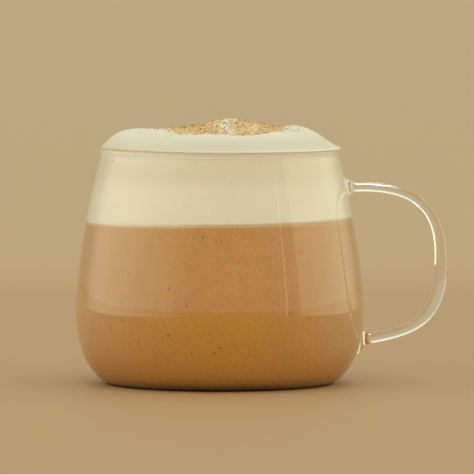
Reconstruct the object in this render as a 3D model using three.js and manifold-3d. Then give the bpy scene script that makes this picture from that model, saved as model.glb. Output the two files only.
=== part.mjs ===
// A glass mug of spiced milk coffee under a domed cap of milk foam dusted with spice.
// Millimetres, +Z up. The origin is the centre of the base, and the handle points along +X.
import * as THREE from 'three';
import { mergeVertices } from 'three/addons/utils/BufferGeometryUtils.js';
import Module from 'manifold-3d';

const wasm = await Module();
wasm.setup();

// Glass body
const bellyRadius = 48;
const bellyHeight = 24.2;
const baseRadius = 35.4;
const heelReach = 6.1; // flat start of the heel curve
const heelRise = 14.7; // upright end of the heel curve, below the belly
const neckRadius = 39.6;
const neckHeight = 76;
const shoulderRise = 14.8; // upright start of the shoulder curve, above the belly
const neckLean = 3.3; // how far the shoulder curve leans out below the neck
const neckFall = 13.3;
const wallThickness = 2;
const floorThickness = 3.4;
const lipRadius = 1.05; // the rounded bead of the drinking edge
const lipCentreRadius = 38.8;
const lipCentreHeight = 77.1;
const bodySides = 48;

// Handle: one rod, thin where it leaves the wall and thicker down its outer side
const handleReach = 73.7; // centre line, from the mug's axis
const handleReachHeight = 40.5;
const upperJointHeight = 65.3;
const lowerJointHeight = 14.6;
const lowerJointSlope = 0.16; // the lower arm climbs a little as it leaves the wall
const armEnd = 48; // where each straight arm turns into the bend
const upperRodRadius = 1.5;
const lowerRodRadius = 1.78;
const rodSwell = 0.6;
const rodSwellCentre = 0.57; // share of the rod's length
const rodSwellReach = 0.3;
const footFlare = 3; // extra radius of the glass where the rod meets the wall
const footLength = 4;
const jointBite = 1.2; // how far the rod runs into the wall
const rodSides = 12;
const rodSteps = 44;

// Drink
const gap = 0.3; // left between the drink, its foam and the glass
const coffeeLevel = 54.6;
const coffeeSides = 40;

// Foam cap
const foamEdgeRadius = 39.2; // the edge lies on the lip
const foamEdgeHeight = 78.45;
const foamEdgeRound = 0.45;
const foamOverhang = 1; // how much further out the edge is on the side of the handle
const foamDroop = 0.5; // and how much lower
const capTop = 83.7; // height of the cap's flat top
const capShoulder = 10.8; // how far in from its edge the cap starts to round off
const capSlope = 1.35; // how much wider that shoulder is on the side of the handle
const moundHeight = 3.9;
const moundSpread = 19.1;
const moundCentre = new THREE.Vector2(2.8, 0);
const humpHeight = 0.65; // a small second rise, towards the handle
const humpSpread = 5;
const humpCentre = new THREE.Vector2(25, 6);
const dipDepth = 2.2; // a shallow hollow in the front of the shoulder, away from the handle
const dipSpread = 11;
const dipCentre = new THREE.Vector2(-25, -19);
const swellHeight = 0.3; // soft unevenness of the top
const foamSides = 48;
const capRings = 13;

// Coarse grains in the spice
const grainCount = 110;
const grainFieldRadius = 24;
const grainFieldCentre = new THREE.Vector2(2.3, 0);
const grainLargest = 0.62;
const grainSmallest = 0.36;
const grainFlatness = 0.7;
const grainSeed = 11;

const glassMaterial = new THREE.MeshStandardMaterial({
  color: 0xdfe4dc, roughness: 0.03, metalness: 0, transparent: true, opacity: 0.35,
});
const coffeeMaterial = new THREE.MeshStandardMaterial({ color: 0xb07a3c, roughness: 0.4, metalness: 0 });
const foamMaterial = new THREE.MeshStandardMaterial({ color: 0xe4dcc0, roughness: 0.7, metalness: 0 });

// Curve of the wall from base to neck, moved in by inset and standing on floorHeight
function wallCurves(inset, floorHeight) {
  const base = new THREE.Vector2(baseRadius - inset * 0.8, floorHeight);
  const belly = new THREE.Vector2(bellyRadius - inset, bellyHeight);
  const neck = new THREE.Vector2(neckRadius - inset, neckHeight);
  const rise = heelRise * (bellyHeight - floorHeight) / bellyHeight;
  const heel = new THREE.CubicBezierCurve(
    base,
    new THREE.Vector2(base.x + heelReach, base.y),
    new THREE.Vector2(belly.x, belly.y - rise),
    belly,
  );
  const shoulder = new THREE.CubicBezierCurve(
    belly,
    new THREE.Vector2(belly.x, belly.y + shoulderRise),
    new THREE.Vector2(neck.x + neckLean, neck.y - neckFall),
    neck,
  );
  return { heel, shoulder };
}

function wallPoints(inset, floorHeight, heelSteps, shoulderSteps) {
  const { heel, shoulder } = wallCurves(inset, floorHeight);
  return [...heel.getPoints(heelSteps), ...shoulder.getPoints(shoulderSteps).slice(1)];
}

// Radius of such a curve at a height, found between close points along it
function wallRadius(inset, floorHeight, height) {
  const points = wallPoints(inset, floorHeight, 60, 120);
  const above = points.findIndex((point) => point.y >= height);
  const upper = points[above];
  const lower = points[above - 1];
  const share = (height - lower.y) / (upper.y - lower.y);
  return THREE.MathUtils.lerp(lower.x, upper.x, share);
}

// A closed, welded solid of a geometry, without the slivers that a lathe leaves on its axis
function solidOf(geometry) {
  geometry.deleteAttribute('normal');
  geometry.deleteAttribute('uv');
  const welded = mergeVertices(geometry, 1e-4);
  const corners = welded.index.array;
  const kept = [];
  for (let i = 0; i < corners.length; i += 3) {
    const [a, b, c] = [corners[i], corners[i + 1], corners[i + 2]];
    if (a !== b && b !== c && c !== a) kept.push(a, b, c);
  }
  return new wasm.Manifold(new wasm.Mesh({
    numProp: 3,
    vertProperties: new Float32Array(welded.attributes.position.array),
    triVerts: new Uint32Array(kept),
  }));
}

function meshOf(solid, name, material) {
  const faces = solid.getMesh();
  const geometry = new THREE.BufferGeometry();
  geometry.setAttribute('position', new THREE.BufferAttribute(faces.vertProperties, 3));
  geometry.setIndex(new THREE.BufferAttribute(faces.triVerts, 1));
  geometry.computeVertexNormals();
  const mesh = new THREE.Mesh(geometry, material);
  mesh.name = name;
  return mesh;
}

// A profile of (radius, height) points turned about the Z axis
function turned(profile, sides) {
  return new THREE.LatheGeometry(profile, sides).rotateX(Math.PI / 2);
}

// Base, wall, rounded lip and the hollow inside, as one closed profile
function glassShell() {
  const lip = new THREE.EllipseCurve(
    lipCentreRadius, lipCentreHeight, lipRadius, lipRadius, -0.16 * Math.PI, 1.16 * Math.PI,
  );
  const outside = wallPoints(0, 0, 8, 10);
  const inside = wallPoints(wallThickness, floorThickness, 7, 9).reverse();
  return solidOf(turned([
    new THREE.Vector2(0, 0),
    ...outside,
    ...lip.getPoints(7),
    ...inside,
    new THREE.Vector2(0, floorThickness),
  ], bodySides));
}

function handleLine() {
  const upperWall = wallRadius(0, 0, upperJointHeight) - jointBite;
  const lowerWall = wallRadius(0, 0, lowerJointHeight) - jointBite;
  const point = (x, z) => new THREE.Vector3(x, 0, z);
  const lowerHeight = (x) => lowerJointHeight + lowerJointSlope * (x - armEnd);
  const line = new THREE.CurvePath();
  line.add(new THREE.LineCurve3(point(upperWall, upperJointHeight), point(armEnd, upperJointHeight)));
  line.add(new THREE.CubicBezierCurve3(
    point(armEnd, upperJointHeight),
    point(armEnd + 24.1, upperJointHeight),
    point(handleReach, handleReachHeight + 10),
    point(handleReach, handleReachHeight),
  ));
  line.add(new THREE.CubicBezierCurve3(
    point(handleReach, handleReachHeight),
    point(handleReach, handleReachHeight - 20.5),
    point(armEnd + 15.9, lowerHeight(armEnd + 15.9)),
    point(armEnd, lowerJointHeight),
  ));
  line.add(new THREE.LineCurve3(point(armEnd, lowerJointHeight), point(lowerWall, lowerHeight(lowerWall))));
  return line;
}

// How much a place on the rod belongs to a foot: 1 at the wall, 0 where the foot has run out
function footShare(share, length) {
  const fromWall = Math.max(Math.min(share, 1 - share) * length - jointBite, 0);
  return 1 - Math.min(fromWall / footLength, 1);
}

// Radius of the rod at a share of its length: a slow swell, and a flared foot at each end
function rodRadius(share, length) {
  const fromSwell = Math.min(Math.abs(share - rodSwellCentre) / rodSwellReach, 1);
  const swell = rodSwell * Math.cos(fromSwell * Math.PI / 2) ** 2;
  const flare = footFlare * (1 - Math.sqrt(1 - footShare(share, length) ** 2));
  return THREE.MathUtils.lerp(upperRodRadius, lowerRodRadius, share) + swell + flare;
}

// How far the wall leans out for each millimetre of height
function wallLean(height) {
  return (wallRadius(0, 0, height + 1) - wallRadius(0, 0, height - 1)) / 2;
}

// The rod is turned as a straight bar and then bent along the handle's line. Its feet lean with the wall.
function handleRod() {
  const line = handleLine();
  const length = line.getLength();
  const shares = [];
  for (let i = 0; i <= rodSteps; i += 1) {
    const even = i / rodSteps;
    shares.push(even - 0.055 * Math.sin(even * 2 * Math.PI)); // closer steps in the feet
  }
  const profile = [
    new THREE.Vector2(0, 0),
    ...shares.map((share) => new THREE.Vector2(rodRadius(share, length), share)),
    new THREE.Vector2(0, 1),
  ];
  const bar = new THREE.LatheGeometry(profile, rodSides);
  const places = bar.attributes.position;
  const upperLean = wallLean(upperJointHeight);
  const lowerLean = wallLean(lowerJointHeight);
  const upAcross = new THREE.Vector3();
  const sideways = new THREE.Vector3(0, 1, 0);
  for (let i = 0; i < places.count; i += 1) {
    const share = places.getY(i);
    const centre = line.getPointAt(share);
    const lean = (share < 0.5 ? upperLean : lowerLean) * footShare(share, length);
    const centreHeight = centre.z;
    upAcross.crossVectors(line.getTangentAt(share), sideways);
    centre.addScaledVector(upAcross, places.getX(i)).addScaledVector(sideways, places.getZ(i));
    places.setXYZ(i, centre.x + lean * (centre.z - centreHeight), centre.y, centre.z);
  }
  return solidOf(bar);
}

// Everything inside the middle of the wall, which trims the ends of the rod
function wallCore() {
  const middle = wallPoints(wallThickness / 2, floorThickness / 2, 8, 10);
  return solidOf(turned([
    new THREE.Vector2(0, floorThickness / 2),
    ...middle,
    new THREE.Vector2(0, neckHeight),
  ], bodySides));
}

function mug() {
  const rod = handleRod().subtract(wallCore());
  return glassShell().add(rod);
}

function coffee() {
  const inset = wallThickness + gap;
  const floorHeight = floorThickness + gap;
  const wall = wallPoints(inset, floorHeight, 9, 40).filter((point) => point.y < coffeeLevel - 0.5);
  return solidOf(turned([
    new THREE.Vector2(0, floorHeight),
    ...wall.filter((point, i) => i < 9 || i % 5 === 0),
    new THREE.Vector2(wallRadius(inset, floorHeight, coffeeLevel), coffeeLevel),
    new THREE.Vector2(0, coffeeLevel),
  ], coffeeSides));
}

// 1 in the direction of the handle, 0 away from it
function towardsHandle(angle) {
  return ((1 + Math.cos(angle)) / 2) ** 1.5;
}

function edgeRadius(angle) {
  return foamEdgeRadius + foamOverhang * towardsHandle(angle);
}

// Height of the foam's blunt edge, rounded over its outermost part
function edgeHeight(radius, angle) {
  const reach = THREE.MathUtils.clamp((radius - edgeRadius(angle)) / foamEdgeRound + 1, 0, 1);
  return foamEdgeHeight - foamDroop * towardsHandle(angle) + foamEdgeRound * Math.sqrt(1 - reach ** 2);
}

// How full the cap still is at a share of the way from its flat top (0) to its edge (1):
// a round shoulder away from the handle, a falling slope towards it
function capFullness(along, angle) {
  const round = (1 - along ** 3.6) ** 1.25;
  const sloping = (1 - along ** 1.6) ** 1.36;
  return THREE.MathUtils.lerp(round, sloping, towardsHandle(angle));
}

function riseAt(x, y, centre, height, spread) {
  return height * Math.exp(-((Math.hypot(x - centre.x, y - centre.y) / spread) ** 2));
}

function capSurface(x, y) {
  const angle = Math.atan2(y, x);
  const radius = Math.hypot(x, y);
  const shoulder = capShoulder + capSlope * towardsHandle(angle);
  const along = THREE.MathUtils.clamp((radius - edgeRadius(angle)) / shoulder + 1, 0, 1);
  const mound = riseAt(x, y, moundCentre, moundHeight, moundSpread);
  const hump = riseAt(x, y, humpCentre, humpHeight, humpSpread);
  const dip = riseAt(x, y, dipCentre, -dipDepth, dipSpread);
  const swell = swellHeight * (Math.sin(0.21 * x + 0.13 * y) + Math.cos(0.17 * y - 0.09 * x + 1.1));
  const level = THREE.MathUtils.lerp(edgeHeight(radius, angle), capTop, capFullness(along, angle));
  return level + (mound + hump + dip + swell) * (1 - along ** 2);
}

// The foam stands on the coffee, fills the neck, passes over the lip and domes above it
function foamBody() {
  const inset = wallThickness + gap;
  const floorHeight = floorThickness + gap;
  const bottom = coffeeLevel + gap;
  const wall = wallPoints(inset, floorHeight, 9, 40).filter((point) => point.y > bottom + 0.5);
  const overLip = new THREE.EllipseCurve(
    lipCentreRadius, lipCentreHeight, lipRadius + gap, lipRadius + gap, Math.PI, 0.42 * Math.PI, true,
  );
  const rings = [];
  for (let i = 0; i <= capRings; i += 1) {
    rings.push(new THREE.Vector2(foamEdgeRadius * Math.sin((1 - i / capRings) * Math.PI / 2), foamEdgeHeight));
  }
  const profile = [
    new THREE.Vector2(0, bottom),
    new THREE.Vector2(wallRadius(inset, floorHeight, bottom), bottom),
    ...wall.filter((point, i) => i % 3 === 0),
    ...overLip.getPoints(5),
    ...rings,
  ];
  const body = turned(profile, foamSides);
  const places = body.attributes.position;
  for (let i = 0; i < places.count; i += 1) {
    const [x, y, z] = [places.getX(i), places.getY(i), places.getZ(i)];
    if (Math.abs(z - foamEdgeHeight) > 1e-4) continue;
    const spread = edgeRadius(Math.atan2(y, x)) / foamEdgeRadius;
    places.setXYZ(i, x * spread, y * spread, capSurface(x * spread, y * spread));
  }
  return solidOf(body);
}

// Repeatable random numbers from 0 to 1
function randomFrom(seed) {
  let state = seed;
  return () => {
    state = (state * 16807) % 2147483647;
    return state / 2147483647;
  };
}

// Coarse grains on a sunflower spiral, the largest near the middle, each half sunk in the foam
function grains() {
  const random = randomFrom(grainSeed);
  const goldenAngle = Math.PI * (3 - Math.sqrt(5));
  const list = [];
  for (let i = 0; i < grainCount; i += 1) {
    const share = (i + 0.5) / grainCount;
    const radius = grainFieldRadius * Math.sqrt(share) * (0.94 + 0.12 * random());
    const angle = i * goldenAngle + 0.5 * random();
    const x = grainFieldCentre.x + radius * Math.cos(angle);
    const y = grainFieldCentre.y + radius * Math.sin(angle);
    const size = THREE.MathUtils.lerp(grainLargest, grainSmallest, share) * (0.8 + 0.4 * random());
    const grain = new THREE.IcosahedronGeometry(size, 0);
    grain.rotateX(random() * Math.PI).rotateZ(random() * Math.PI).scale(1, 1, grainFlatness);
    grain.translate(x, y, capSurface(x, y) + 0.15 * size);
    list.push(solidOf(grain));
  }
  return list;
}

function foam() {
  return grains().reduce((joined, grain) => joined.add(grain), foamBody());
}

const drink = new THREE.Group();
drink.add(meshOf(mug(), 'mug', glassMaterial));
drink.add(meshOf(coffee(), 'coffee', coffeeMaterial));
drink.add(meshOf(foam(), 'foam', foamMaterial));

export default drink;
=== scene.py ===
import math

import bmesh
import bpy
import numpy as np
from mathutils import Matrix, Vector, geometry, noise


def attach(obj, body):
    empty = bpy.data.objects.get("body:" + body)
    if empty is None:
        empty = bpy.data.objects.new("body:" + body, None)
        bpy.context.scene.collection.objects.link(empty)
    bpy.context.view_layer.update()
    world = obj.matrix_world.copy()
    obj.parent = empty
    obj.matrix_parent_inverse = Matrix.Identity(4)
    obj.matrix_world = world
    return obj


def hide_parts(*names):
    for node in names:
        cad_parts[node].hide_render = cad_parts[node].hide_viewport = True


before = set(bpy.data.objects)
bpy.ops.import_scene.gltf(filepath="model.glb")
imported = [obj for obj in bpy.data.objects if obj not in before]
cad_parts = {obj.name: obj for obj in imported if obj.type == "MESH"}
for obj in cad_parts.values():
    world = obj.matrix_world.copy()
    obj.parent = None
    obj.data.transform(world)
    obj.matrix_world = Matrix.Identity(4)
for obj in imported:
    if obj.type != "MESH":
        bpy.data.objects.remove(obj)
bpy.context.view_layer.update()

# A glass mug of spiced milk coffee under a domed cap of milk foam.
# Sizes are in millimetres and become metres as a piece is made.
mm = 0.001
print("frame loaded:", sorted(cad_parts))

# The camera stands where the photograph's did, straight in front and a little above the rim.
camera = {
    "distance": 1700.0,
    "height": 138.7,
    "aimAside": 5.75,  # aim point, right of the mug's axis
    "aimHeight": 48.6,
    "sensor": 36.0,
    "lens": 388.7,
    "clip": (0.05, 60.0),  # metres
}


def makeCamera():
    place = Vector((0, -camera["distance"], camera["height"]))
    aim = Vector((camera["aimAside"], 0, camera["aimHeight"]))
    data = bpy.data.cameras.new("photoCamera")
    data.sensor_width = camera["sensor"]
    data.lens = camera["lens"]
    data.clip_start, data.clip_end = camera["clip"]
    made = bpy.data.objects.new("photoCamera", data)
    bpy.context.scene.collection.objects.link(made)
    made.location = place * mm
    made.rotation_euler = (aim - place).to_track_quat("-Z", "Y").to_euler()
    bpy.context.scene.camera = made


makeCamera()
print("camera placed")


# Small helpers for node trees. A value that is a socket is linked, any other is set.
def put(tree, kind, values=None, **settings):
    made = tree.nodes.new(kind)
    for name, setting in settings.items():
        setattr(made, name, setting)
    for name, value in (values or {}).items():
        socket = made.inputs[name]
        if isinstance(value, bpy.types.NodeSocket):
            tree.links.new(value, socket)
        else:
            socket.default_value = value
    return made


def putGroup(tree, group, values):
    return put(tree, "ShaderNodeGroup", values, node_tree=group)


def mathNode(tree, operation, *values):
    return put(tree, "ShaderNodeMath", dict(enumerate(values)), operation=operation).outputs[0]


def times(tree, first, second):
    return mathNode(tree, "MULTIPLY", first, second)


def smoothRange(tree, value, low, high, toLow=0.0, toHigh=1.0):
    values = {"Value": value, "From Min": low, "From Max": high, "To Min": toLow, "To Max": toHigh}
    return put(tree, "ShaderNodeMapRange", values, interpolation_type="SMOOTHSTEP").outputs["Result"]


# The same for a height, between two heights in millimetres
def heightRange(tree, height, low, high, toLow=0.0, toHigh=1.0):
    return smoothRange(tree, height, low * mm, high * mm, toLow, toHigh)


def mixColours(tree, share, first, second, blend="MIX"):
    values = {0: share, 6: first, 7: second}
    return put(tree, "ShaderNodeMix", values, data_type="RGBA", blend_type=blend).outputs[2]


def scaleColour(tree, colour, tone):
    return put(tree, "ShaderNodeVectorMath", {0: colour, "Scale": tone}, operation="SCALE").outputs[0]


def newGroup(name, inputs, outputs):
    tree = bpy.data.node_groups.new(name, "ShaderNodeTree")
    for socketName, kind, start in inputs:
        socket = tree.interface.new_socket(name=socketName, in_out="INPUT", socket_type=kind)
        if start is not None:
            socket.default_value = start
    for socketName, kind in outputs:
        tree.interface.new_socket(name=socketName, in_out="OUTPUT", socket_type=kind)
    return tree, tree.nodes.new("NodeGroupInput"), tree.nodes.new("NodeGroupOutput")


def newMaterial(name):
    material = bpy.data.materials.new(name)
    material.use_nodes = True
    tree = material.node_tree
    tree.nodes.clear()
    output = tree.nodes.new("ShaderNodeOutputMaterial")
    place = tree.nodes.new("ShaderNodeTexCoord").outputs["Object"]
    return material, tree, output, place


# Soft cloudy unevenness, as a number around 1
def makeMottleGroup():
    tree, given, result = newGroup(
        "softMottle",
        [("Vector", "NodeSocketVector", None), ("Scale", "NodeSocketFloat", 120.0),
         ("Depth", "NodeSocketFloat", 0.05)],
        [("Value", "NodeSocketFloat")],
    )
    cloud = put(tree, "ShaderNodeTexNoise", {
        "Vector": given.outputs["Vector"], "Scale": given.outputs["Scale"],
        "Detail": 4.0, "Roughness": 0.55,
    })
    centred = mathNode(tree, "SUBTRACT", cloud.outputs["Fac"], 0.5)
    deep = times(tree, centred, given.outputs["Depth"])
    tree.links.new(mathNode(tree, "MULTIPLY_ADD", deep, 2.0, 1.0), result.inputs["Value"])
    return tree


speckForm = {
    "smallest": 0.4,  # of the radius that a material asks for
    "spread": 0.7,  # how much larger the others are
    "core": 0.5,  # the full dark middle, as a share of a speck
}


# Small round specks in some of the cells of a cell texture
def makeSpeckGroup():
    tree, given, result = newGroup(
        "fineSpecks",
        [("Vector", "NodeSocketVector", None), ("Scale", "NodeSocketFloat", 250.0),
         ("Radius", "NodeSocketFloat", 0.1), ("Share", "NodeSocketFloat", 0.3)],
        [("Mask", "NodeSocketFloat")],
    )
    cells = put(tree, "ShaderNodeTexVoronoi", {
        "Vector": given.outputs["Vector"], "Scale": given.outputs["Scale"],
    })
    tone = put(tree, "ShaderNodeSeparateColor", {"Color": cells.outputs["Color"]})
    picked = mathNode(tree, "LESS_THAN", tone.outputs[0], given.outputs["Share"])
    ownSize = mathNode(tree, "MULTIPLY_ADD", tone.outputs[1], speckForm["spread"], speckForm["smallest"])
    edge = times(tree, ownSize, given.outputs["Radius"])
    inside = smoothRange(tree, cells.outputs["Distance"], edge, times(tree, edge, speckForm["core"]))
    tree.links.new(times(tree, inside, picked), result.inputs["Mask"])
    return tree


layers = {
    "level": 54.2,  # where coffee and foam meet
    "fuzz": 0.9,  # half the height over which one turns into the other
    "waver": 0.45,
    "slowWaves": {"Scale": 45.0, "Detail": 2.0},
    "quickWaves": {"Scale": 900.0, "Detail": 3.0},
    "quickShare": 0.6,
    "tilt": 0.018,  # the level rises a little towards the handle
}


# How much of the drink is foam at a place: 0 in the coffee, 1 in the foam
def makeLayerGroup():
    tree, given, result = newGroup(
        "drinkLayers",
        [("Vector", "NodeSocketVector", None)],
        [("Foam", "NodeSocketFloat"), ("Height", "NodeSocketFloat")],
    )
    vector = given.outputs["Vector"]
    place = put(tree, "ShaderNodeSeparateXYZ", {"Vector": vector})
    slow = put(tree, "ShaderNodeTexNoise", {"Vector": vector, **layers["slowWaves"]}).outputs["Fac"]
    quick = put(tree, "ShaderNodeTexNoise", {"Vector": vector, **layers["quickWaves"]}).outputs["Fac"]
    waves = mathNode(tree, "ADD", slow, times(tree, quick, layers["quickShare"]))
    middle = (1 + layers["quickShare"]) / 2
    shifted = times(tree, mathNode(tree, "SUBTRACT", waves, middle), layers["waver"] * 2 * mm)
    tilted = times(tree, place.outputs["X"], layers["tilt"])
    height = mathNode(tree, "SUBTRACT", mathNode(tree, "ADD", place.outputs["Z"], shifted), tilted)
    low, high = layers["level"] - layers["fuzz"], layers["level"] + layers["fuzz"]
    tree.links.new(heightRange(tree, height, low, high), result.inputs["Foam"])
    tree.links.new(place.outputs["Z"], result.inputs["Height"])
    return tree


softMottle = makeMottleGroup()
fineSpecks = makeSpeckGroup()
drinkLayers = makeLayerGroup()
print("shared node groups made")

glassLook = {
    "tint": (0.985, 0.995, 0.98, 1.0),
    "clear": (0.97, 0.98, 0.96, 1.0),
    "shade": (0.02, 0.014, 0.008, 1.0),  # painted shade: the glass is darkened below shadeTop, for the shadow in the narrow gap under the heel
    "shadeTop": 0.7,
    "shadeSoft": 0.2,
    "deep": (0.50, 0.43, 0.30, 1.0),  # what is left of light that has turned often in the glass
    "turns": 3.5,  # and how often
    "ior": 1.47,
    "smudge": {"Scale": 60.0, "Depth": 1.0},
    "smudgeFrom": (0.9, 1.5),
    "smudgeRough": 0.03,
    "wave": {"Scale": 35.0, "Depth": 0.5},
    "ripple": 0.02,
    "rippleStrength": 0.12,
}


# Clear glass with the faint ripple of a fire-polished wall. Light on its way to the drink, as shadow rays
# and diffuse rays, passes straight through. Light that keeps turning inside the glass gets out dimmed, so
# that the handle's feet sparkle and don't go black.
def makeGlassMaterial():
    material, tree, output, place = newMaterial("clearGlass")
    smudge = putGroup(tree, softMottle, {"Vector": place, **glassLook["smudge"]}).outputs["Value"]
    wave = putGroup(tree, softMottle, {"Vector": place, **glassLook["wave"]}).outputs["Value"]
    ripple = put(tree, "ShaderNodeBump", {
        "Strength": glassLook["rippleStrength"], "Distance": glassLook["ripple"] * mm, "Height": wave,
    })
    # painted shade: low down the glass turns dark, both as seen and for light passing through it
    height = put(tree, "ShaderNodeSeparateXYZ", {"Vector": place}).outputs["Z"]
    shadeTop, soft = glassLook["shadeTop"], glassLook["shadeSoft"]
    lit = heightRange(tree, height, shadeTop - soft, shadeTop + soft)
    glass = put(tree, "ShaderNodeBsdfPrincipled", {
        "Base Color": mixColours(tree, lit, glassLook["shade"], glassLook["tint"]),
        "Roughness": smoothRange(tree, smudge, *glassLook["smudgeFrom"], 0.0, glassLook["smudgeRough"]),
        "IOR": glassLook["ior"], "Transmission Weight": 1.0, "Normal": ripple.outputs["Normal"],
    })
    path = tree.nodes.new("ShaderNodeLightPath")
    lighting = mathNode(tree, "MAXIMUM", path.outputs["Is Shadow Ray"], path.outputs["Is Diffuse Ray"])
    deep = mathNode(tree, "GREATER_THAN", path.outputs["Ray Depth"], glassLook["turns"])
    through = mixColours(tree, lit, glassLook["shade"], glassLook["clear"])
    passed = mixColours(tree, lighting, glassLook["deep"], through)
    clear = put(tree, "ShaderNodeBsdfTransparent", {"Color": passed})
    mixed = put(tree, "ShaderNodeMixShader", {
        0: mathNode(tree, "MAXIMUM", lighting, deep), 1: glass.outputs[0], 2: clear.outputs[0],
    })
    tree.links.new(mixed.outputs[0], output.inputs["Surface"])
    return material


coffeeLook = {
    "upper": (0.61, 0.28, 0.052, 1.0),
    "lower": (0.61, 0.272, 0.028, 1.0),
    "turning": (2.0, 40.0),  # painted shade: the coffee is a little darker and browner towards the bottom; heights between which the lower tone becomes the upper
    "cloud": {"Scale": 70.0, "Depth": 0.10},
    "grain": {"Scale": 1400.0, "Depth": 0.30},
    "speck": (0.13, 0.06, 0.02, 1.0),
    "specks": {"Scale": 540.0, "Radius": 0.29, "Share": 0.26},
    "speckShare": 0.6,
    "paintedSheen": (0.86, 0.80, 0.66, 1.0),  # painted sheen: a pale tone mixed in where the drink is seen at a flat angle
    "sheenLow": (0.35, 0.8),  # its share below and above the bend of the heel
    "sheenHeel": (6.0, 16.0),
    "sheenHigh": 0.64,  # what is left of it above the belly
    "sheenBelly": (26.0, 33.0),
    "meeting": (0.68, 0.36, 0.10, 1.0),  # where coffee and foam run into each other
    "meetingShare": 1.6,
    "roughness": 0.55,
    "gloss": 0.1,
    "milk": 0.15,  # how much of its light comes back out of the drink
    "milkDepth": 2.0,
}


def coffeeColour(tree, place, height, facing):
    # painted shade: the lower tone, darker towards the bottom
    outOfShade = heightRange(tree, height, *coffeeLook["turning"])
    body = mixColours(tree, outOfShade, coffeeLook["lower"], coffeeLook["upper"])
    cloud = putGroup(tree, softMottle, {"Vector": place, **coffeeLook["cloud"]}).outputs["Value"]
    grain = putGroup(tree, softMottle, {"Vector": place, **coffeeLook["grain"]}).outputs["Value"]
    toned = scaleColour(tree, body, times(tree, cloud, grain))
    specks = putGroup(tree, fineSpecks, {"Vector": place, **coffeeLook["specks"]}).outputs["Mask"]
    specked = mixColours(tree, times(tree, specks, coffeeLook["speckShare"]), toned, coffeeLook["speck"])
    # painted sheen: pale where the drink is seen at a flat angle, most between the heel and the belly
    overHeel = heightRange(tree, height, *coffeeLook["sheenHeel"], *coffeeLook["sheenLow"])
    overBelly = heightRange(tree, height, *coffeeLook["sheenBelly"], 1.0, coffeeLook["sheenHigh"])
    sheenShare = times(tree, facing, times(tree, overHeel, overBelly))
    return mixColours(tree, sheenShare, specked, coffeeLook["paintedSheen"])


foamLook = {
    "side": (0.91, 0.81, 0.625, 1.0),
    "cloud": {"Scale": 60.0, "Depth": 0.04},
    "froth": {"Scale": 1600.0, "Depth": 0.05},
    "speck": (0.24, 0.13, 0.055, 1.0),
    "specks": {"Scale": 170.0, "Radius": 0.11, "Share": 0.10},
    "speckShare": 0.45,
    "face": (0.73, 0.645, 0.45, 1.0),  # painted shade: a darker tone on the slope round the cap
    "faceHeights": (78.1, 79.0),
    # painted shade: a darker tone on the flat top than on the side
    "top": (0.80, 0.715, 0.53, 1.0),
    "topHeights": (81.3, 83.4),
    "dust": (0.73, 0.42, 0.13, 1.0),
    "dustPatch": {"Scale": 700.0, "Depth": 1.1},
    "dustFrom": (0.15, 1.05),
    "dustShare": 0.8,
    "bubbles": {"Scale": 1500.0, "Radius": 0.42, "Share": 0.5},
    "bubbleDepth": 0.8,
    "pores": {"Scale": 1100.0, "Detail": 3.0},
    "relief": 0.1,
    "reliefStrength": 0.25,
    "roughness": (0.25, 0.42),  # what the pores add, and the least
    "gloss": 0.35,
    "milk": 0.25,
    "milkDepth": 2.5,
}


def foamSideColour(tree, place):
    cloud = putGroup(tree, softMottle, {"Vector": place, **foamLook["cloud"]}).outputs["Value"]
    froth = putGroup(tree, softMottle, {"Vector": place, **foamLook["froth"]}).outputs["Value"]
    toned = scaleColour(tree, foamLook["side"][:3], times(tree, cloud, froth))
    specks = putGroup(tree, fineSpecks, {"Vector": place, **foamLook["specks"]}).outputs["Mask"]
    return mixColours(tree, times(tree, specks, foamLook["speckShare"]), toned, foamLook["speck"])


# The side of the drink. Both drink materials share it, so that the two layers run into each other.
def makeSideGroup():
    tree, given, result = newGroup(
        "drinkSide",
        [("Vector", "NodeSocketVector", None), ("Facing", "NodeSocketFloat", 0.0)],
        [("Color", "NodeSocketColor")],
    )
    place = given.outputs["Vector"]
    drink = putGroup(tree, drinkLayers, {"Vector": place})
    share = drink.outputs["Foam"]
    brown = coffeeColour(tree, place, drink.outputs["Height"], given.outputs["Facing"])
    mixed = mixColours(tree, share, brown, foamSideColour(tree, place))
    line = times(tree, share, mathNode(tree, "SUBTRACT", 1.0, share))
    lined = mixColours(tree, times(tree, line, coffeeLook["meetingShare"]), mixed, coffeeLook["meeting"])
    tree.links.new(lined, result.inputs["Color"])
    return tree


drinkSide = makeSideGroup()


def sideColour(tree, place):
    # the facing drives the drink's painted sheen
    facing = put(tree, "ShaderNodeLayerWeight", {"Blend": 0.5}).outputs["Facing"]
    return putGroup(tree, drinkSide, {"Vector": place, "Facing": facing}).outputs["Color"]


# Painted light behind the rounded lip: the foam is made a little lighter there, and lightest in a line
# under it, a painted highlight
rimLook = {
    "band": (76.85, 78.1),
    "bandLightening": (1.06, 1.10, 1.25, 1.0),
    "line": (76.1, 76.85),
    "lineHighlight": (1.08, 1.2, 1.45, 1.0),
    "soft": 0.1,
}


def rimPaintedLight(tree, height, colour):
    soft = rimLook["soft"]
    for heights, tone in (("band", "bandLightening"), ("line", "lineHighlight")):
        low, high = rimLook[heights]
        over = heightRange(tree, height, low - soft, low + soft)
        under = heightRange(tree, height, high + soft, high - soft)
        colour = mixColours(tree, times(tree, over, under), colour, rimLook[tone], "MULTIPLY")
    return colour


def makeCoffeeMaterial():
    material, tree, output, place = newMaterial("milkCoffee")
    shader = put(tree, "ShaderNodeBsdfPrincipled", {
        "Base Color": sideColour(tree, place), "Roughness": coffeeLook["roughness"],
        "Specular IOR Level": coffeeLook["gloss"],
        "Subsurface Weight": coffeeLook["milk"], "Subsurface Scale": coffeeLook["milkDepth"] * mm,
    })
    tree.links.new(shader.outputs[0], output.inputs["Surface"])
    return material


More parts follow.
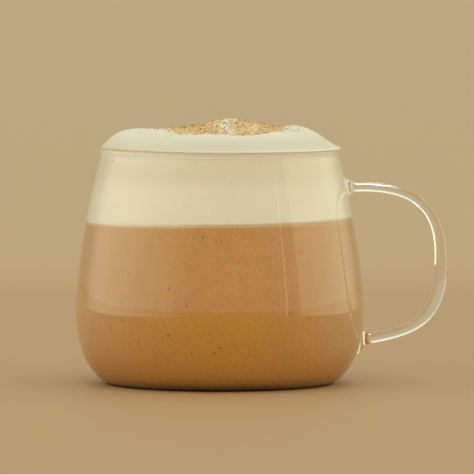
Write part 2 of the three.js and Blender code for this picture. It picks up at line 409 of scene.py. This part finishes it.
def makeFoamMaterial():
    material, tree, output, place = newMaterial("milkFoam")
    height = put(tree, "ShaderNodeSeparateXYZ", {"Vector": place}).outputs["Z"]
    # painted light: the foam is lighter behind the lip, with a painted highlight line under it
    side = rimPaintedLight(tree, height, sideColour(tree, place))
    # painted shade: the foam is darker on the cap's slope and top than on its side
    onFace = heightRange(tree, height, *foamLook["faceHeights"])
    onTop = heightRange(tree, height, *foamLook["topHeights"])
    bare = mixColours(tree, onTop, mixColours(tree, onFace, side, foamLook["face"]), foamLook["top"])
    dust = put(tree, "ShaderNodeAttribute", attribute_name="dust").outputs["Fac"]
    patch = putGroup(tree, softMottle, {"Vector": place, **foamLook["dustPatch"]}).outputs["Value"]
    dusted = smoothRange(tree, times(tree, dust, patch), *foamLook["dustFrom"])
    colour = mixColours(tree, times(tree, dusted, foamLook["dustShare"]), bare, foamLook["dust"])
    bubbles = putGroup(tree, fineSpecks, {"Vector": place, **foamLook["bubbles"]}).outputs["Mask"]
    pores = put(tree, "ShaderNodeTexNoise", {"Vector": place, **foamLook["pores"]}).outputs["Fac"]
    relief = put(tree, "ShaderNodeBump", {
        "Strength": foamLook["reliefStrength"], "Distance": foamLook["relief"] * mm,
        "Height": mathNode(tree, "SUBTRACT", pores, times(tree, bubbles, foamLook["bubbleDepth"])),
    })
    shader = put(tree, "ShaderNodeBsdfPrincipled", {
        "Base Color": colour, "Roughness": mathNode(tree, "MULTIPLY_ADD", pores, *foamLook["roughness"]),
        "Specular IOR Level": foamLook["gloss"], "Normal": relief.outputs["Normal"],
        "Subsurface Weight": foamLook["milk"], "Subsurface Scale": foamLook["milkDepth"] * mm,
    })
    tree.links.new(shader.outputs[0], output.inputs["Surface"])
    return material


spiceLook = {
    "fleck": {"Scale": 5000.0, "Depth": 0.45},
    "relief": 0.03,
    "reliefStrength": 0.3,
    "roughness": 0.75,
    "gloss": 0.06,
}


# Ground spice: each grain carries its own tone in an attribute
def makeSpiceMaterial(name, dark, light):
    material, tree, output, place = newMaterial(name)
    tone = put(tree, "ShaderNodeAttribute", attribute_name="tone").outputs["Fac"]
    fleck = putGroup(tree, softMottle, {"Vector": place, **spiceLook["fleck"]}).outputs["Value"]
    bump = put(tree, "ShaderNodeBump", {
        "Strength": spiceLook["reliefStrength"], "Distance": spiceLook["relief"] * mm, "Height": fleck,
    })
    shader = put(tree, "ShaderNodeBsdfPrincipled", {
        "Base Color": scaleColour(tree, mixColours(tree, tone, dark, light), fleck),
        "Roughness": spiceLook["roughness"], "Specular IOR Level": spiceLook["gloss"],
        "Normal": bump.outputs["Normal"],
    })
    tree.links.new(shader.outputs[0], output.inputs["Surface"])
    return material


clearGlass = makeGlassMaterial()
milkCoffee = makeCoffeeMaterial()
milkFoam = makeFoamMaterial()
print("drink materials made")

glass = {
    "bellyRadius": 48.0,
    "bellyHeight": 24.2,
    "baseRadius": 35.4,
    "baseInset": 0.8,  # how much of the wall's inset the edge of the base takes
    "heelReach": 6.1,  # flat start of the heel curve
    "heelRise": 14.7,  # upright end of the heel curve
    "neckRadius": 39.6,
    "neckHeight": 76.0,
    "shoulderRise": 14.8,
    "neckLean": 3.3,
    "neckFall": 13.3,
    "wall": 2.0,
    "floor": 3.4,
    "lipRadius": 1.05,
    "lipCentre": (38.8, 77.1),
    "lipPast": 0.16 * math.pi,  # how far the lip's arc goes past its half turn at each end
    "lipSteps": 18,
    "outsideSteps": (36, 60),  # of the heel and of the shoulder
    "insideSteps": (28, 50),
    "fineSteps": (80, 160),  # for reading a radius off the curve
    "flatSteps": 5,
    "steps": 192,
}


# The wall's curve, moved in by inset and standing on floorHeight, as (radius, height) points
def wallPoints(inset, floorHeight, heelSteps, shoulderSteps):
    base = Vector((glass["baseRadius"] - inset * glass["baseInset"], floorHeight, 0))
    belly = Vector((glass["bellyRadius"] - inset, glass["bellyHeight"], 0))
    neck = Vector((glass["neckRadius"] - inset, glass["neckHeight"], 0))
    rise = glass["heelRise"] * (belly.y - floorHeight) / glass["bellyHeight"]
    heel = geometry.interpolate_bezier(
        base, base + Vector((glass["heelReach"], 0, 0)), belly - Vector((0, rise, 0)), belly, heelSteps + 1)
    shoulder = geometry.interpolate_bezier(
        belly, belly + Vector((0, glass["shoulderRise"], 0)),
        neck + Vector((glass["neckLean"], -glass["neckFall"], 0)), neck, shoulderSteps + 1)
    return [(point.x, point.y) for point in heel + shoulder[1:]]


def wallRadius(inset, floorHeight, height):
    points = wallPoints(inset, floorHeight, *glass["fineSteps"])
    return float(np.interp(height, [point[1] for point in points], [point[0] for point in points]))


def arcPoints(centre, radius, start, end, steps):
    turns = [start + (end - start) * i / steps for i in range(steps + 1)]
    return [(centre[0] + radius * math.cos(turn), centre[1] + radius * math.sin(turn)) for turn in turns]


# Points from the axis out to a radius, without the last one
def flatPoints(radius, height, steps):
    return [(radius * i / steps, height) for i in range(steps)]


samePlace = 0.002  # points nearer to each other than this are one


# An outline of (radius, height) points spun about the mug's axis
def spinOutline(outline, steps):
    bm = bmesh.new()
    corners = [bm.verts.new((radius * mm, 0, height * mm)) for radius, height in outline]
    for lower, upper in zip(corners, corners[1:]):
        bm.edges.new((lower, upper))
    bmesh.ops.spin(bm, geom=bm.verts[:] + bm.edges[:], cent=(0, 0, 0), axis=(0, 0, 1),
                   angle=2 * math.pi, steps=steps, use_merge=True)
    bmesh.ops.remove_doubles(bm, verts=bm.verts, dist=samePlace * mm)
    bmesh.ops.recalc_face_normals(bm, faces=bm.faces)
    return bm


def finishPiece(bm, name, material):
    for face in bm.faces:
        face.smooth = True
    mesh = bpy.data.meshes.new(name)
    bm.to_mesh(mesh)
    bm.free()
    mesh.materials.append(material)
    made = bpy.data.objects.new(name, mesh)
    bpy.context.scene.collection.objects.link(made)
    return made


def makeShell():
    outside = wallPoints(0, 0, *glass["outsideSteps"])
    lip = arcPoints(glass["lipCentre"], glass["lipRadius"], -glass["lipPast"], math.pi + glass["lipPast"],
                    glass["lipSteps"])
    inside = wallPoints(glass["wall"], glass["floor"], *glass["insideSteps"])[::-1]
    foot = flatPoints(glass["baseRadius"], 0, glass["flatSteps"])
    well = flatPoints(inside[-1][0], glass["floor"], glass["flatSteps"])[::-1]
    return spinOutline(foot + outside + lip + inside + well, glass["steps"])


handle = {
    "reach": 73.7,
    "reachHeight": 40.5,
    "upperJoint": 65.3,
    "lowerJoint": 14.6,
    "lowerSlope": 0.16,
    "armEnd": 48.0,
    "upperPull": 24.1,  # the pulls of the two bends, at the arms and at the outermost point
    "upperOuterPull": 10.0,
    "lowerOuterPull": 20.5,
    "lowerPull": 15.9,
    "upperRadius": 1.5,
    "lowerRadius": 1.78,
    "swell": 0.6,
    "swellCentre": 0.57,
    "swellReach": 0.3,
    "footFlare": 3.0,
    "footLength": 4.0,
    "bite": 1.2,
    "sides": 32,
    "steps": 170,
    "crowding": 0.055,  # the rings stand closer together at the feet
    "nearby": 0.3,  # how far before and after a ring its direction is read
    "bendSteps": 200,
    "armSteps": 20,
}


# Centre line of the handle as dense points in the XZ plane
def handleLine():
    upperWall = wallRadius(0, 0, handle["upperJoint"]) - handle["bite"]
    lowerWall = wallRadius(0, 0, handle["lowerJoint"]) - handle["bite"]
    end = handle["armEnd"]
    reach = handle["reach"]
    top = handle["upperJoint"]
    middle = handle["reachHeight"]
    armSteps = handle["armSteps"]

    def lowerHeight(x):
        return handle["lowerJoint"] + handle["lowerSlope"] * (x - end)

    pulled = end + handle["lowerPull"]
    upperBend = geometry.interpolate_bezier(
        Vector((end, 0, top)), Vector((end + handle["upperPull"], 0, top)),
        Vector((reach, 0, middle + handle["upperOuterPull"])), Vector((reach, 0, middle)),
        handle["bendSteps"])
    lowerBend = geometry.interpolate_bezier(
        Vector((reach, 0, middle)), Vector((reach, 0, middle - handle["lowerOuterPull"])),
        Vector((pulled, 0, lowerHeight(pulled))), Vector((end, 0, handle["lowerJoint"])),
        handle["bendSteps"])
    upperArm = [Vector((upperWall + (end - upperWall) * i / armSteps, 0, top)) for i in range(armSteps)]
    lowerArm = [Vector((x, 0, lowerHeight(x))) for x in
                [end + (lowerWall - end) * i / armSteps for i in range(1, armSteps + 1)]]
    return upperArm + upperBend + lowerBend[1:] + lowerArm


# How much a place on the rod belongs to a foot: 1 at the wall, 0 where the foot has run out
def footShare(share, length):
    fromWall = max(min(share, 1 - share) * length - handle["bite"], 0)
    return 1 - min(fromWall / handle["footLength"], 1)


def rodRadius(share, length):
    fromSwell = min(abs(share - handle["swellCentre"]) / handle["swellReach"], 1)
    swell = handle["swell"] * math.cos(fromSwell * math.pi / 2) ** 2
    flare = handle["footFlare"] * (1 - math.sqrt(1 - footShare(share, length) ** 2))
    return handle["upperRadius"] + (handle["lowerRadius"] - handle["upperRadius"]) * share + swell + flare


# How far the wall leans out for each millimetre of height
def wallLean(height):
    return (wallRadius(0, 0, height + 1) - wallRadius(0, 0, height - 1)) / 2


# The rod is spun as a straight bar up the Z axis and then bent along the handle's line.
# Its feet lean with the wall.
def makeRod():
    line = handleLine()
    gaps = [(b - a).length for a, b in zip(line, line[1:])]
    walked = np.concatenate([[0.0], np.cumsum(gaps)])
    length = float(walked[-1])
    columns = [np.array([point[axis] for point in line]) for axis in range(3)]
    shares = [i / handle["steps"] for i in range(handle["steps"] + 1)]
    shares = [share - handle["crowding"] * math.sin(2 * math.pi * share) for share in shares]
    outline = [(0, 0)] + [(rodRadius(share, length), share * length) for share in shares] + [(0, length)]
    bm = spinOutline(outline, handle["sides"])
    sideways = Vector((0, 1, 0))
    upperLean = wallLean(handle["upperJoint"])
    lowerLean = wallLean(handle["lowerJoint"])
    for vert in bm.verts:
        along = vert.co.z / mm
        lean = (upperLean if along < length / 2 else lowerLean) * footShare(along / length, length)
        near = [Vector([float(np.interp(along + step, walked, column)) for column in columns])
                for step in (-handle["nearby"], 0, handle["nearby"])]
        tangent = (near[2] - near[0]).normalized()
        across = sideways.cross(tangent)
        vert.co = near[1] * mm + across * vert.co.x + sideways * vert.co.y
        vert.co.x += lean * (vert.co.z - near[1].z * mm)
    return bm


# What lies inside the middle of the wall. It trims the ends of the rod.
def makeCore():
    bottom = glass["floor"] / 2
    middle = wallPoints(glass["wall"] / 2, bottom, *glass["outsideSteps"])
    return spinOutline([(0, bottom)] + middle + [(0, glass["neckHeight"])], glass["steps"])


def applyBoolean(target, other, operation):
    modifier = target.modifiers.new("join", "BOOLEAN")
    modifier.operation = operation
    modifier.solver = "MANIFOLD"
    modifier.object = other
    bpy.context.view_layer.update()
    evaluated = target.evaluated_get(bpy.context.evaluated_depsgraph_get())
    mesh = bpy.data.meshes.new_from_object(evaluated)
    target.modifiers.clear()
    old = target.data
    target.data = mesh
    bpy.data.meshes.remove(old)
    bpy.data.objects.remove(other)


def makeMug():
    rod = finishPiece(makeRod(), "rod", clearGlass)
    core = finishPiece(makeCore(), "core", clearGlass)
    applyBoolean(rod, core, "DIFFERENCE")
    mug = finishPiece(makeShell(), "glassMug", clearGlass)
    applyBoolean(mug, rod, "UNION")
    mug.data.name = "glassMug"
    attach(mug, "root")
    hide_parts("mug")
    print("glassMug made:", len(mug.data.polygons), "faces")
    return mug


glassMug = makeMug()

drink = {
    "intoWall": 0.15,  # how far the drink reaches into the glass, so that no air shows
    "intoFloor": 0.9,
    "level": layers["level"],
    "rimGap": 0.4,  # between the coffee's rim and the last point of its wall
    "overlap": 0.2,  # how far the foam starts under the level
    "foamClear": 0.06,  # and how much narrower
    "coffeeSteps": (30, 60),
    "foamSteps": (30, 90),
    "flatSteps": 6,  # of the coffee's bottom and top
    "underSteps": 5,  # of the foam's underside
    "steps": 160,
}


def makeCoffee():
    inset = glass["wall"] - drink["intoWall"]
    floorHeight = glass["floor"] - drink["intoFloor"]
    level = drink["level"]
    side = wallPoints(inset, floorHeight, *drink["coffeeSteps"])
    wall = [point for point in side if point[1] < level - drink["rimGap"]]
    rim = (wallRadius(inset, floorHeight, level), level)
    well = flatPoints(wall[0][0], floorHeight, drink["flatSteps"])
    surface = flatPoints(rim[0], level, drink["flatSteps"])[::-1]
    bm = spinOutline(well + wall + [rim] + surface, drink["steps"])
    made = finishPiece(bm, "coffeeFill", milkCoffee)
    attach(made, "root")
    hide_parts("coffee")
    print("coffeeFill made:", len(made.data.polygons), "faces")
    return made


coffeeFill = makeCoffee()

cap = {
    "edgeRadius": 39.2,
    "edgeHeight": 78.45,
    "edgeRound": 0.45,
    "overhang": 1.0,  # how much further out the edge is on the side of the handle
    "droop": 0.5,  # and how much lower
    "hangReach": 1.1,
    "top": 83.7,
    "shoulder": 10.8,
    "slope": 1.35,  # how much wider the shoulder is on the side of the handle
    "turn": 1.5,  # how late the shoulder takes the form that it has on that side
    "roundForm": (3.6, 1.25),  # powers in the shoulder's curve away from the handle
    "slopingForm": (1.6, 1.36),  # and towards it
    "rises": {
        "mound": {"centre": (2.8, 0.0), "height": 3.6, "spread": 19.1},
        "peak": {"centre": (4.0, 0.0), "height": 0.4, "spread": 4.5},  # the mound's tip
        "slack": {"centre": (11.0, 0.0), "height": -0.45, "spread": 5.0},  # its side towards the handle
        "hump": {"centre": (25.0, 6.0), "height": 0.65, "spread": 5.0},
        "dip": {"centre": (-25.0, -19.0), "height": -2.2, "spread": 11.0},
    },
    "sag": {"from": -11.0, "to": -27.0, "height": -0.85},  # the top falls a little towards the front
    "swell": {"height": 0.3, "first": (0.21, 0.13), "second": (-0.09, 0.17), "shift": 1.1},
    "ridge": {"radius": 28.8, "height": 0.45, "spread": 2.6, "fade": 0.6},  # front of the flat top
    "steps": 384,
    "rings": 150,
}


# 1 in the direction of the handle, 0 away from it
def towardsHandle(angle):
    return ((1 + math.cos(angle)) / 2) ** cap["turn"]


# How far the foam hangs over the lip: not at all where it is furthest from the handle
def hangShare(angle):
    return min((1 + math.cos(angle)) * cap["hangReach"], 1)


def edgeRadius(angle):
    return cap["edgeRadius"] + cap["overhang"] * hangShare(angle)


# Height of the foam's blunt edge, rounded over its outermost part
def edgeHeight(radius, angle):
    reach = min(max((radius - edgeRadius(angle)) / cap["edgeRound"] + 1, 0), 1)
    rounding = cap["edgeRound"] * math.sqrt(1 - reach ** 2)
    return cap["edgeHeight"] - cap["droop"] * hangShare(angle) + rounding


def shoulderForm(along, form):
    return (1 - along ** form[0]) ** form[1]


# A round shoulder away from the handle, a falling slope towards it
def capFullness(along, angle):
    full = shoulderForm(along, cap["roundForm"])
    sloping = shoulderForm(along, cap["slopingForm"])
    return full + (sloping - full) * towardsHandle(angle)


def riseAt(x, y, form):
    away = math.hypot(x - form["centre"][0], y - form["centre"][1])
    return form["height"] * math.exp(-((away / form["spread"]) ** 2))


def smoothStep(low, high, value):
    share = min(max((value - low) / (high - low), 0), 1)
    return share * share * (3 - 2 * share)


def noiseAt(place, form):
    return noise.noise(place * form["scale"] + Vector(form["shift"])) * form["height"]


spice = {
    "centre": (2.2, 0.0),
    "reach": (20.0, 29.0),  # half width and half depth of the thick part
    "fade": (1.12, 0.86),  # it begins and is full at these shares of its reach
    "edge": 27.0,  # it ends where the flat top does
    "edgeSoft": 1.0,
    "base": 0.44,
    "heaps": (-11.0, 15.0),  # thickest left and right of the mound's top
    "heapWidth": 7.0,
    "heapShare": 0.5,
    "stretch": 0.6,  # the patches are longer from front to back
    "patch": {"scale": 0.22, "shift": (4.0, 9.0, 1.0), "height": 0.5},
    "fine": {"scale": 0.8, "shift": (8.0, 1.0, 6.0), "height": 0.3},
    "stray": 0.17,  # the few grains round it
    "strayFade": (1.6, 1.0),
    "strayEdge": 4.0,
    "field": (1.5, 1.1),  # shares of the reach within which places are drawn
    "seed": 5,
}


# How thick the spice lies at a place, from 0 to 1: two heaps in a patchy field, and a few grains round it
def spiceDensity(x, y):
    across = (x - spice["centre"][0]) / spice["reach"][0]
    deep = (y - spice["centre"][1]) / spice["reach"][1]
    away = math.hypot(across, deep)
    radius = math.hypot(x, y)
    inner, outer = spice["edge"] - spice["edgeSoft"], spice["edge"] + spice["edgeSoft"]
    field = smoothStep(*spice["fade"], away) * smoothStep(outer, inner, radius)
    stray = spice["stray"] * smoothStep(*spice["strayFade"], away)
    stray *= smoothStep(spice["edge"] + spice["strayEdge"], outer, radius)
    heap = sum(math.exp(-((x - place) / spice["heapWidth"]) ** 2) for place in spice["heaps"])
    stretched = Vector((x, y * spice["stretch"], 0))
    thick = spice["base"] + spice["heapShare"] * heap
    thick += noiseAt(stretched, spice["patch"]) + noiseAt(stretched, spice["fine"])
    return min(max(field * thick + stray, 0), 1)


reliefForms = {
    "lumps": {"scale": 0.16, "shift": (3.1, 7.7, 0.4), "height": 0.28},
    "ripples": {"scale": 0.45, "shift": (11.2, 2.3, 5.9), "height": 0.10},
    "grain": {"scale": 1.5, "shift": (1.7, 8.8, 2.2), "height": 0.03},
}
crumbRelief = {"scale": 0.9, "shift": (5.3, 0.7, 9.1), "height": 0.16}


# Fine relief of spooned foam: soft dimples and ripples, and small lumps where the spice lies
def foamRelief(x, y, along):
    place = Vector((x, y, 0))
    soft = sum(noiseAt(place, form) for form in reliefForms.values())
    crumbs = spiceDensity(x, y) * noiseAt(place, crumbRelief)
    return (soft + crumbs) * (1 - along ** 2)


def swellAt(x, y, form):
    first = math.sin(form["first"][0] * x + form["first"][1] * y)
    second = math.cos(form["second"][0] * x + form["second"][1] * y + form["shift"])
    return form["height"] * (first + second)


def ridgeAt(radius, angle, form):
    rise = form["height"] * math.exp(-((radius - form["radius"]) / form["spread"]) ** 2)
    return rise * max(-math.sin(angle), 0) ** form["fade"]


def sagAt(y, form):
    return form["height"] * smoothStep(form["from"], form["to"], y)


def capSurface(x, y):
    angle = math.atan2(y, x)
    radius = math.hypot(x, y)
    shoulder = cap["shoulder"] + cap["slope"] * towardsHandle(angle)
    along = min(max((radius - edgeRadius(angle)) / shoulder + 1, 0), 1)
    rises = sum(riseAt(x, y, form) for form in cap["rises"].values())
    rises += swellAt(x, y, cap["swell"]) + ridgeAt(radius, angle, cap["ridge"]) + sagAt(y, cap["sag"])
    rim = edgeHeight(radius, angle)
    level = rim + (cap["top"] - rim) * capFullness(along, angle)
    return level + rises * (1 - along ** 2) + foamRelief(x, y, along)


neckFill = {
    "from": 66.0,  # over this height the foam presses further into the wall
    "to": 75.8,
    "press": 1.3,
    "beadRadius": 39.15,  # its side where it passes the rounded lip
    "beadTurn": 3,  # it has this radius from the third of its steps on
    "beadSteps": 8,
    "underEdge": 0.05,  # the side ends this far under the cap's edge
}


# The foam's side from the level to the lip, as (radius, height) points
def foamSide(inset, floorHeight):
    low, high = neckFill["from"], neckFill["to"]
    side = wallPoints(inset, floorHeight, *drink["foamSteps"])
    wall = [(radius + neckFill["press"] * smoothStep(low, high, height), height)
            for radius, height in side if drink["level"] < height < high]
    lastRadius, lastHeight = wall[-1]
    out = neckFill["beadRadius"] - lastRadius
    rise = cap["edgeHeight"] - neckFill["underEdge"] - lastHeight
    steps = neckFill["beadSteps"]
    bead = [(lastRadius + out * smoothStep(0, neckFill["beadTurn"], i), lastHeight + rise * i / steps)
            for i in range(1, steps + 1)]
    return wall + bead


def makeFoam():
    inset = glass["wall"] - drink["intoWall"]
    floorHeight = glass["floor"] - drink["intoFloor"]
    bottom = drink["level"] - drink["overlap"]
    radius = wallRadius(inset, floorHeight, bottom) - drink["foamClear"]
    under = flatPoints(radius, bottom, drink["underSteps"]) + [(radius, bottom)]
    rings = [(cap["edgeRadius"] * math.sin((1 - i / cap["rings"]) * math.pi / 2), cap["edgeHeight"])
             for i in range(cap["rings"] + 1)]
    bm = spinOutline(under + foamSide(inset, floorHeight) + rings, cap["steps"])
    for vert in bm.verts:
        if abs(vert.co.z / mm - cap["edgeHeight"]) > samePlace:
            continue  # not on the top, which is still flat
        spread = edgeRadius(math.atan2(vert.co.y, vert.co.x)) / cap["edgeRadius"]
        vert.co.x *= spread
        vert.co.y *= spread
        vert.co.z = capSurface(vert.co.x / mm, vert.co.y / mm) * mm
    dustLayer = bm.verts.layers.float.new("dust")
    for vert in bm.verts:
        onTop = vert.co.z > cap["edgeHeight"] * mm
        vert[dustLayer] = spiceDensity(vert.co.x / mm, vert.co.y / mm) if onTop else 0.0
    made = finishPiece(bm, "foamCap", milkFoam)
    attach(made, "root")
    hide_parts("foam")
    print("foamCap made:", len(made.data.polygons), "faces")
    return made


foamCap = makeFoam()

spiceKinds = {
    "spiceDust": {"count": 4600, "small": 0.10, "large": 0.19, "flat": 0.7, "power": 1.2, "sunk": 0.1,
                  "dark": (0.48, 0.23, 0.048, 1.0), "light": (0.84, 0.535, 0.18, 1.0)},
    "spiceCrumbs": {"count": 900, "small": 0.20, "large": 0.42, "flat": 0.7, "power": 1.4, "sunk": 0.0,
                    "dark": (0.42, 0.18, 0.036, 1.0), "light": (0.92, 0.64, 0.26, 1.0)},
    "spiceGrains": {"count": 440, "small": 0.17, "large": 0.34, "flat": 0.75, "power": 0.8, "sunk": -0.2,
                    "dark": (0.22, 0.09, 0.02, 1.0), "light": (0.45, 0.23, 0.07, 1.0)},
}
grainForm = {
    "shapes": 6,
    "uneven": 0.28,
    "tilt": 0.5,  # radians
    "narrowest": 0.6,  # its width as a share of its length
}


# One uneven grain, as arrays of corners and faces
def grainShape(rng):
    bm = bmesh.new()
    bmesh.ops.create_icosphere(bm, subdivisions=1, radius=1)
    corners = np.array([vert.co[:] for vert in bm.verts])
    faces = np.array([[vert.index for vert in face.verts] for face in bm.faces])
    bm.free()
    uneven = rng.uniform(-grainForm["uneven"], grainForm["uneven"], (len(corners), 1))
    return corners * (1 + uneven), faces


# Where the grains of one kind lie, drawn at random but thicker where the spice is thick
def spicePlaces(rng, count, power):
    wide, deep = spice["field"]
    places = []
    while len(places) < count:
        x = spice["centre"][0] + spice["reach"][0] * rng.uniform(-wide, wide)
        y = spice["centre"][1] + spice["reach"][1] * rng.uniform(-deep, deep)
        if rng.random() < spiceDensity(x, y) ** power:
            places.append((x, y))
    return places


# All grains of one kind as one mesh
def makeSpice(name, kind, seed):
    rng = np.random.default_rng(seed)
    shapes = [grainShape(rng) for _ in range(grainForm["shapes"])]
    corners, faces, tones = [], [], []
    filled = 0
    for x, y in spicePlaces(rng, kind["count"], kind["power"]):
        shape, shapeFaces = shapes[int(rng.integers(grainForm["shapes"]))]
        size = kind["small"] + (kind["large"] - kind["small"]) * rng.random() ** 2
        turn = Matrix.Rotation(rng.random() * 2 * math.pi, 3, "Z") @ Matrix.Rotation(
            rng.uniform(-grainForm["tilt"], grainForm["tilt"]), 3, "X")
        scaled = shape * np.array([1, rng.uniform(grainForm["narrowest"], 1.0), kind["flat"]]) * size
        turned = scaled @ np.array(turn).T
        centre = np.array([x, y, capSurface(x, y) - kind["sunk"] * size])
        corners.append(turned + centre)
        faces.append(shapeFaces + filled)
        tones.append(np.full(len(shape), rng.random()))
        filled += len(shape)
    allCorners = np.concatenate(corners) * mm
    mesh = bpy.data.meshes.new(name)
    mesh.from_pydata(allCorners.tolist(), [], np.concatenate(faces).tolist())
    tone = mesh.attributes.new("tone", "FLOAT", "POINT")
    tone.data.foreach_set("value", np.concatenate(tones).astype(np.float32))
    mesh.materials.append(makeSpiceMaterial(name, kind["dark"], kind["light"]))
    mesh.update()
    made = bpy.data.objects.new(name, mesh)
    bpy.context.scene.collection.objects.link(made)
    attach(made, "root")
    print(name, "made:", len(mesh.polygons), "faces")
    return made


spicePieces = [makeSpice(name, kind, spice["seed"] + number)
               for number, (name, kind) in enumerate(spiceKinds.items())]

floorLook = {
    "radius": 26.0,  # metres
    "near": (0.52, 0.315, 0.145, 1.0),
    "far": (0.56, 0.375, 0.195, 1.0),
    "turning": (0.40, 0.75),  # metres from the mug at which the near tone becomes the far
    "roughness": 0.5,
    "gloss": 0.25,
    "sides": 96,
}


def makeFloor():
    material, tree, output, place = newMaterial("paleFloor")
    away = put(tree, "ShaderNodeVectorMath", {0: place}, operation="LENGTH").outputs["Value"]
    share = smoothRange(tree, away, *floorLook["turning"])
    shader = put(tree, "ShaderNodeBsdfPrincipled", {
        "Base Color": mixColours(tree, share, floorLook["near"], floorLook["far"]),
        "Roughness": floorLook["roughness"], "Specular IOR Level": floorLook["gloss"],
    })
    tree.links.new(shader.outputs[0], output.inputs["Surface"])
    bm = bmesh.new()
    bmesh.ops.create_circle(bm, cap_ends=True, segments=floorLook["sides"], radius=floorLook["radius"])
    made = finishPiece(bm, "floor", material)


makeFloor()
print("floor made")

# Soft panels round the mug that light only what is glossy. The azimuth counts from the camera's side
# towards the handle, and start and end are how softly each upright edge of a panel fades out.
# Their sizes and distances are in metres.
panels = {
    "leftPanel": {"azimuth": -77.0, "elevation": 4.0, "distance": 0.45, "width": 1.5, "height": 0.75,
                  "radiance": 1.65, "colour": (0.92, 1.0, 0.70), "start": 0.5, "end": 0.6},
    "rightPanel": {"azimuth": 104.0, "elevation": 4.0, "distance": 0.45, "width": 0.78, "height": 0.75,
                   "radiance": 1.25, "colour": (0.84, 1.0, 0.64), "start": 0.04, "end": 0.45},
    "backPanel": {"azimuth": 180.0, "elevation": 42.0, "distance": 0.9, "width": 1.2, "height": 0.6,
                  "radiance": 0.4, "colour": (1.0, 0.88, 0.65), "start": 0.1, "end": 0.1},
    "sparkPanel": {"azimuth": 129.0, "elevation": 38.0, "distance": 0.9, "width": 0.12, "height": 0.12,
                   "radiance": 8.0, "colour": (0.92, 0.96, 1.0), "start": 0.2, "end": 0.2},
    "rightStreak": {"azimuth": 52.0, "elevation": 4.0, "distance": 0.45, "width": 0.014, "height": 0.3,
                    "radiance": 1.6, "colour": (1.0, 0.98, 0.85), "start": 0.3, "end": 0.3},
}
panelAim = 45.0  # the height on the mug's axis that they face

# And one close over the handle, which faces down
handlePanel = {"place": (74, -52, 180), "width": 0.066, "height": 0.125, "radiance": 24.0,
               "colour": (0.9, 0.97, 1.0), "start": 0.05, "end": 0.6}


# What a panel lights: the table is left out, so that it shows no reflection of a panel from any side
def makeReceivers(name, pieces):
    made = bpy.data.collections.new(name)
    for piece in pieces:
        made.objects.link(piece)
    return made


def makePanel(name, panel, receivers):
    data = bpy.data.lights.new(name, "AREA")
    data.shape = "RECTANGLE"
    data.size = panel["width"]
    data.size_y = panel["height"]
    data.energy = panel["radiance"] * math.pi * panel["width"] * panel["height"]
    data.color = panel["colour"]
    data.use_nodes = True
    tree = data.node_tree
    tree.nodes.clear()
    across = put(tree, "ShaderNodeSeparateXYZ", {
        "Vector": tree.nodes.new("ShaderNodeNewGeometry").outputs["Parametric"],
    }).outputs["X"]
    fadeIn = smoothRange(tree, across, 0.0, panel["start"])
    fadeOut = smoothRange(tree, across, 1.0, 1.0 - panel["end"])
    glow = put(tree, "ShaderNodeEmission", {"Strength": times(tree, fadeIn, fadeOut)})
    output = tree.nodes.new("ShaderNodeOutputLight")
    tree.links.new(glow.outputs[0], output.inputs["Surface"])
    made = bpy.data.objects.new(name, data)
    bpy.context.scene.collection.objects.link(made)
    made.visible_camera = False
    made.visible_diffuse = False
    made.visible_volume_scatter = False
    made.light_linking.receiver_collection = receivers
    return made


cupOnly = makeReceivers("cupOnly", [glassMug, coffeeFill, foamCap, *spicePieces])
for name, panel in panels.items():
    lamp = makePanel(name, panel, cupOnly)
    azimuth = math.radians(panel["azimuth"])
    elevation = math.radians(panel["elevation"])
    way = Vector((math.sin(azimuth) * math.cos(elevation), -math.cos(azimuth) * math.cos(elevation),
                  math.sin(elevation)))
    lamp.location = way * panel["distance"] + Vector((0, 0, panelAim * mm))
    lamp.rotation_euler = (-way).to_track_quat("-Z", "Y").to_euler()

glassOnly = makeReceivers("glassOnly", [glassMug])
makePanel("handlePanel", handlePanel, glassOnly).location = Vector(handlePanel["place"]) * mm

# The room's light by direction. Back is what the camera looks towards and front what is behind it.
roomLook = {
    "back": (0.46, 0.41, 0.27, 1.0),
    "front": (1.07, 1.05, 0.93, 1.0),
    "frontFrom": (0.95, 0.3),
    "high": (0.66, 0.63, 0.52, 1.0),
    "highFrom": (0.1, 0.8),
    "zenith": (1.35, 1.65, 1.80, 1.0),
    "zenithFrom": (0.75, 0.95),
    "strength": 1.0,
}


def makeRoom():
    world = bpy.data.worlds.new("softRoom")
    world.use_nodes = True
    tree = world.node_tree
    tree.nodes.clear()
    way = tree.nodes.new("ShaderNodeTexCoord").outputs["Generated"]
    axes = put(tree, "ShaderNodeSeparateXYZ", {"Vector": way})
    toFront = smoothRange(tree, axes.outputs["Y"], *roomLook["frontFrom"])
    toHigh = smoothRange(tree, axes.outputs["Z"], *roomLook["highFrom"])
    toZenith = smoothRange(tree, axes.outputs["Z"], *roomLook["zenithFrom"])
    level = mixColours(tree, toFront, roomLook["back"], roomLook["front"])
    upper = mixColours(tree, toHigh, level, roomLook["high"])
    colour = mixColours(tree, toZenith, upper, roomLook["zenith"])
    glow = put(tree, "ShaderNodeBackground", {"Color": colour, "Strength": roomLook["strength"]})
    output = tree.nodes.new("ShaderNodeOutputWorld")
    tree.links.new(glow.outputs[0], output.inputs["Surface"])
    bpy.context.scene.world = world
    bpy.context.scene.view_settings.view_transform = "Standard"


makeRoom()
print("lights and room made")
